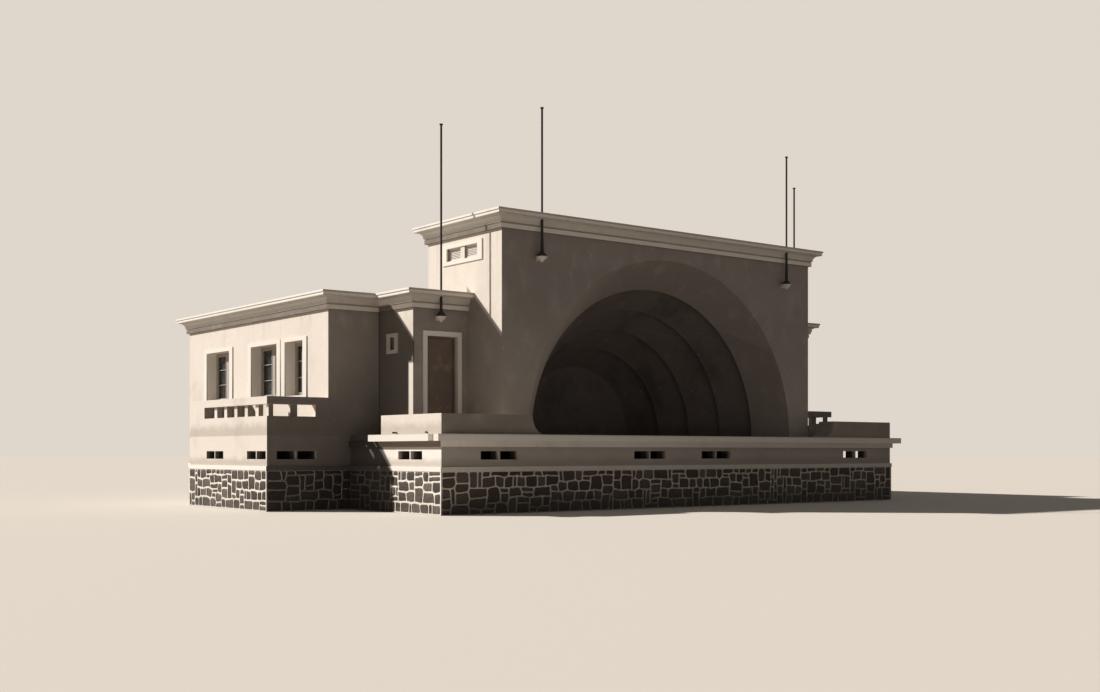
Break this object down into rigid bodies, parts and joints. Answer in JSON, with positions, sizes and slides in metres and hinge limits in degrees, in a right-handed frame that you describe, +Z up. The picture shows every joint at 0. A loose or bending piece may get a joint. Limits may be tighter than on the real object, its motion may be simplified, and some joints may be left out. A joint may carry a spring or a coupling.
{
  "type": "bandstand building with a stepped acoustic shell",
  "caption": "Open-air bandstand: stepped half-round shell on a raised stone-based stage, with planters, flagpoles, stage doors and a rear block with side terraces.",
  "frame": {"origin": "middle of the building's plan, at ground level", "axes": "+X along the front to the right as the audience sees it, +Y from the audience to the rear block, +Z up"},
  "size_m": [21.35, 13.975, 10.33],
  "materials": {
    "rubble_stone": "rough rubble with raised pale joints",
    "white_plaster": "smooth limewashed plaster",
    "wall_plaster": "fine plaster, stained",
    "shell_plaster": "smooth plaster, painted",
    "concrete": "trowelled cement",
    "soil": "loose earth",
    "door_wood": "painted boards",
    "window_wood": "white paint",
    "window_glass": "clear",
    "pole_metal": "dark paint"
  },
  "bodies": {
    "root": {"stage_stone_base": "rubble_stone", "rear_stone_base": "rubble_stone", "string_course": "white_plaster", "stage_plinth": "wall_plaster", "stage_vent_piers": "wall_plaster", "stage_lintels": "wall_plaster", "stage_bed": "white_plaster", "stage_slab": "white_plaster", "rear_plinth": "wall_plaster", "rear_floor": "concrete", "terrace_walls": "wall_plaster", "terrace_posts": "wall_plaster", "terrace_rails": "white_plaster", "left_planter": "wall_plaster", "right_planter": "wall_plaster", "planter_soil": "soil", "front_wall": "wall_plaster", "arch_splay": "wall_plaster", "shell_ring_1": "shell_plaster", "shell_ring_2": "shell_plaster", "shell_ring_3": "shell_plaster", "shell_ring_4": "shell_plaster", "shell_back": "shell_plaster", "flank_walls": "wall_plaster", "high_rear_wall": "wall_plaster", "rear_front_walls": "wall_plaster", "side_walls": "wall_plaster", "rear_wall": "wall_plaster", "lobby_jambs": "wall_plaster", "lobby_lintels": "wall_plaster", "lobby_side_walls": "wall_plaster", "high_roof": "concrete", "low_roof": "concrete", "high_cornice": "white_plaster", "low_cornice": "white_plaster", "wall_bands": "white_plaster", "door_linings": "door_wood", "right_stage_door": "door_wood", "window_frames": "window_wood", "side_glass": "window_glass", "rear_glass": "window_glass", "flank_shutters": "window_wood", "pole_corbels": "white_plaster", "flagpoles": "pole_metal"},
    "stage_door": {"left_stage_door": "door_wood"}
  },
  "joints": [
    {"name": "stage_door_hinge", "type": "hinge", "parent": "root", "child": "stage_door", "pos_m": [-6.976, -3.8765, 2], "axis": [0, 0, 1], "range_deg": [0, 95]}
  ]
}
